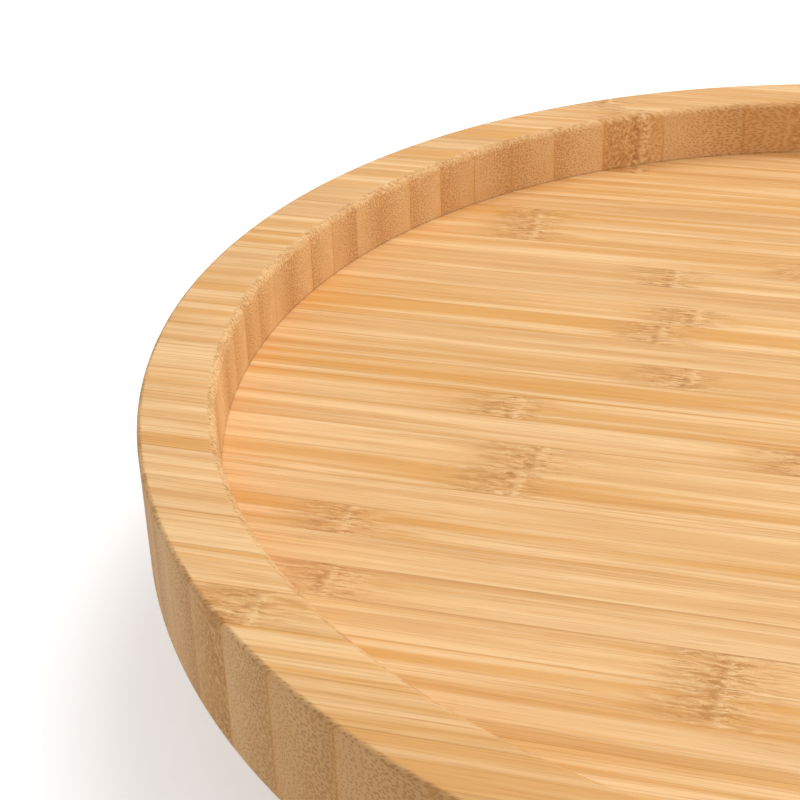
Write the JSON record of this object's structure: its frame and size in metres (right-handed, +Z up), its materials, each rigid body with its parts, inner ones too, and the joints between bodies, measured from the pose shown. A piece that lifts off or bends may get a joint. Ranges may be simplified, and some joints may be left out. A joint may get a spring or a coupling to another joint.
{
  "type": "lazy susan turntable",
  "caption": "Round bamboo tray with a raised rim that turns freely on a ball bearing above a smaller footed base, for passing food or condiments.",
  "frame": {"origin": "on the table, under the turning axis", "axes": "+Z up along the turning axis; +X along the grain of the tray, towards the access hole of the base"},
  "size_m": [0.25, 0.25, 0.045],
  "materials": {
    "tray_bamboo": "satin clear-oiled bamboo, edge-glued strips",
    "base_bamboo": "satin clear-oiled bamboo, edge-glued strips",
    "plate_steel": "bright zinc-plated pressed steel",
    "eyelet_steel": "zinc-plated drawn steel",
    "cage_steel": "oiled blank steel",
    "ball_steel": "polished hardened steel",
    "screw_steel": "yellow-passivated zinc plating",
    "foot_rubber": "matt black moulded rubber",
    "washer_steel": "bright zinc plating"
  },
  "bodies": {
    "base": {"base_board": "base_bamboo", "lower_bearing_plate": "plate_steel", "bearing_eyelet": "eyelet_steel", "lower_plate_screws": "screw_steel", "rubber_foot_1": "foot_rubber", "rubber_foot_2": "foot_rubber", "rubber_foot_3": "foot_rubber", "rubber_foot_4": "foot_rubber", "foot_washers": "washer_steel", "foot_screws": "screw_steel"},
    "turntable": {"tray": "tray_bamboo", "upper_bearing_plate": "plate_steel", "upper_plate_screws": "screw_steel"},
    "cage": {"ball_cage": "cage_steel"},
    "ball_01": {"ball_01": "ball_steel"},
    "ball_02": {"ball_02": "ball_steel"},
    "ball_03": {"ball_03": "ball_steel"},
    "ball_04": {"ball_04": "ball_steel"},
    "ball_05": {"ball_05": "ball_steel"},
    "ball_06": {"ball_06": "ball_steel"},
    "ball_07": {"ball_07": "ball_steel"},
    "ball_08": {"ball_08": "ball_steel"},
    "ball_09": {"ball_09": "ball_steel"},
    "ball_10": {"ball_10": "ball_steel"},
    "ball_11": {"ball_11": "ball_steel"},
    "ball_12": {"ball_12": "ball_steel"},
    "ball_13": {"ball_13": "ball_steel"},
    "ball_14": {"ball_14": "ball_steel"},
    "ball_15": {"ball_15": "ball_steel"},
    "ball_16": {"ball_16": "ball_steel"}
  },
  "joints": [
    {"name": "tray_spin", "type": "hinge", "parent": "base", "child": "turntable", "pos_m": [0, 0, 0.019], "axis": [0, 0, 1], "continuous": true},
    {"name": "cage_spin", "type": "hinge", "parent": "base", "child": "cage", "pos_m": [0, 0, 0.019], "axis": [0, 0, 1], "continuous": true},
    {"name": "ball_01_roll", "type": "hinge", "parent": "cage", "child": "ball_01", "pos_m": [0.038, 0, 0.019], "axis": [1, 0, 0], "continuous": true},
    {"name": "ball_02_roll", "type": "hinge", "parent": "cage", "child": "ball_02", "pos_m": [0.03511, 0.01454, 0.019], "axis": [0.9239, 0.3827, 0], "continuous": true},
    {"name": "ball_03_roll", "type": "hinge", "parent": "cage", "child": "ball_03", "pos_m": [0.02687, 0.02687, 0.019], "axis": [0.7071, 0.7071, 0], "continuous": true},
    {"name": "ball_04_roll", "type": "hinge", "parent": "cage", "child": "ball_04", "pos_m": [0.01454, 0.03511, 0.019], "axis": [0.3827, 0.9239, 0], "continuous": true},
    {"name": "ball_05_roll", "type": "hinge", "parent": "cage", "child": "ball_05", "pos_m": [0, 0.038, 0.019], "axis": [0, 1, 0], "continuous": true},
    {"name": "ball_06_roll", "type": "hinge", "parent": "cage", "child": "ball_06", "pos_m": [-0.01454, 0.03511, 0.019], "axis": [-0.3827, 0.9239, 0], "continuous": true},
    {"name": "ball_07_roll", "type": "hinge", "parent": "cage", "child": "ball_07", "pos_m": [-0.02687, 0.02687, 0.019], "axis": [-0.7071, 0.7071, 0], "continuous": true},
    {"name": "ball_08_roll", "type": "hinge", "parent": "cage", "child": "ball_08", "pos_m": [-0.03511, 0.01454, 0.019], "axis": [-0.9239, 0.3827, 0], "continuous": true},
    {"name": "ball_09_roll", "type": "hinge", "parent": "cage", "child": "ball_09", "pos_m": [-0.038, 0, 0.019], "axis": [-1, 0, 0], "continuous": true},
    {"name": "ball_10_roll", "type": "hinge", "parent": "cage", "child": "ball_10", "pos_m": [-0.03511, -0.01454, 0.019], "axis": [-0.9239, -0.3827, 0], "continuous": true},
    {"name": "ball_11_roll", "type": "hinge", "parent": "cage", "child": "ball_11", "pos_m": [-0.02687, -0.02687, 0.019], "axis": [-0.7071, -0.7071, 0], "continuous": true},
    {"name": "ball_12_roll", "type": "hinge", "parent": "cage", "child": "ball_12", "pos_m": [-0.01454, -0.03511, 0.019], "axis": [-0.3827, -0.9239, 0], "continuous": true},
    {"name": "ball_13_roll", "type": "hinge", "parent": "cage", "child": "ball_13", "pos_m": [0, -0.038, 0.019], "axis": [0, -1, 0], "continuous": true},
    {"name": "ball_14_roll", "type": "hinge", "parent": "cage", "child": "ball_14", "pos_m": [0.01454, -0.03511, 0.019], "axis": [0.3827, -0.9239, 0], "continuous": true},
    {"name": "ball_15_roll", "type": "hinge", "parent": "cage", "child": "ball_15", "pos_m": [0.02687, -0.02687, 0.019], "axis": [0.7071, -0.7071, 0], "continuous": true},
    {"name": "ball_16_roll", "type": "hinge", "parent": "cage", "child": "ball_16", "pos_m": [0.03511, -0.01454, 0.019], "axis": [0.9239, -0.3827, 0], "continuous": true}
  ],
  "couplings": [
    {"joint": "cage_spin", "follows": "tray_spin", "ratio": 0.5},
    {"joint": "ball_01_roll", "follows": "tray_spin", "ratio": -7.6},
    {"joint": "ball_02_roll", "follows": "tray_spin", "ratio": -7.6},
    {"joint": "ball_03_roll", "follows": "tray_spin", "ratio": -7.6},
    {"joint": "ball_04_roll", "follows": "tray_spin", "ratio": -7.6},
    {"joint": "ball_05_roll", "follows": "tray_spin", "ratio": -7.6},
    {"joint": "ball_06_roll", "follows": "tray_spin", "ratio": -7.6},
    {"joint": "ball_07_roll", "follows": "tray_spin", "ratio": -7.6},
    {"joint": "ball_08_roll", "follows": "tray_spin", "ratio": -7.6},
    {"joint": "ball_09_roll", "follows": "tray_spin", "ratio": -7.6},
    {"joint": "ball_10_roll", "follows": "tray_spin", "ratio": -7.6},
    {"joint": "ball_11_roll", "follows": "tray_spin", "ratio": -7.6},
    {"joint": "ball_12_roll", "follows": "tray_spin", "ratio": -7.6},
    {"joint": "ball_13_roll", "follows": "tray_spin", "ratio": -7.6},
    {"joint": "ball_14_roll", "follows": "tray_spin", "ratio": -7.6},
    {"joint": "ball_15_roll", "follows": "tray_spin", "ratio": -7.6},
    {"joint": "ball_16_roll", "follows": "tray_spin", "ratio": -7.6}
  ]
}
